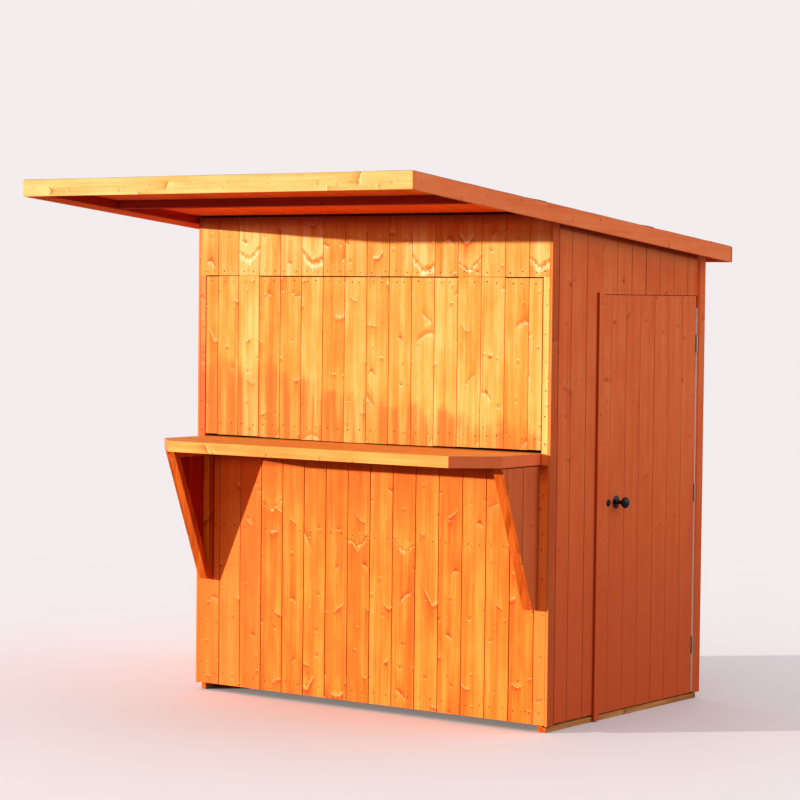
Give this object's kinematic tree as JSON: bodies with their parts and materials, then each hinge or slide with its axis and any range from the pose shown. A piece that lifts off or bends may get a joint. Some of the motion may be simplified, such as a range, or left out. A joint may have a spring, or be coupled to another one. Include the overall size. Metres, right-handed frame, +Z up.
{
  "type": "garden bar",
  "caption": "Small boarded timber building with a pent roof, a deep front canopy, a serving hatch over a bracketed counter and a side door.",
  "frame": {"origin": "on the ground under the centre of the roof's outline", "axes": "+X to the right seen from the front, +Y from the front to the back, +Z up"},
  "size_m": [1.912, 2.325, 2.1405],
  "materials": {
    "timber_front": "satin stained softwood, golden orange",
    "timber_side": "satin stained softwood, red-brown",
    "timber_raw": "plain sawn softwood",
    "hinge_steel": "zinc plated",
    "black_metal": "gloss black",
    "roof_felt": "mineral roofing felt"
  },
  "bodies": {
    "building": {"floor_bearers": "timber_raw", "floor_boards": "timber_raw", "front_lower_wall": "timber_front", "front_header": "timber_front", "front_strip_left": "timber_front", "front_strip_right": "timber_front", "left_wall": "timber_side", "back_wall": "timber_side", "right_wall_front": "timber_side", "right_wall_header": "timber_side", "right_wall_rear": "timber_side", "corner_trim_front_left": "timber_front", "corner_trim_front_right": "timber_front", "corner_trim_rear_left": "timber_side", "corner_trim_rear_right": "timber_side", "door_jamb_strip": "timber_side", "front_frame": "timber_raw", "left_frame": "timber_raw", "back_frame": "timber_raw", "right_frame": "timber_raw", "counter_top": "timber_front", "bracket_left": "timber_side", "bracket_right": "timber_side", "bracket_battens_left": "timber_side", "bracket_battens_right": "timber_side", "hatch_hinges_wall": "hinge_steel", "door_hinges_post": "hinge_steel", "roof_deck": "timber_raw", "roof_felt": "roof_felt", "front_fascia": "timber_front", "rear_fascia": "timber_side", "barge_board_left": "timber_side", "barge_board_right": "timber_side", "roof_purlins": "timber_side", "roof_side_rafters": "timber_side"},
    "door": {"door_boards": "timber_side", "door_ledges": "timber_raw", "door_hinges_leaf": "hinge_steel", "knob_rose": "black_metal", "keyhole_cover": "black_metal", "lock_case": "black_metal"},
    "knob": {"door_knob": "black_metal"},
    "hatch": {"hatch_boards": "timber_front", "hatch_battens": "timber_raw", "hatch_hinges_leaf": "hinge_steel"}
  },
  "joints": [
    {"name": "door_hinge", "type": "hinge", "parent": "building", "child": "door", "pos_m": [0.892, 0.9825, 0.88], "axis": [0, 0, 1], "range_deg": [0, 100]},
    {"name": "knob_turn", "type": "hinge", "parent": "door", "child": "knob", "pos_m": [0.9, 0.3545, 0.874], "axis": [1, 0, 0], "range_deg": [-45, 45], "stiffness_Nm_per_rad": 0.3},
    {"name": "hatch_hinge", "type": "hinge", "parent": "building", "child": "hatch", "pos_m": [0, -0.1125, 1.7735], "axis": [1, 0, 0], "range_deg": [0, 90]}
  ]
}
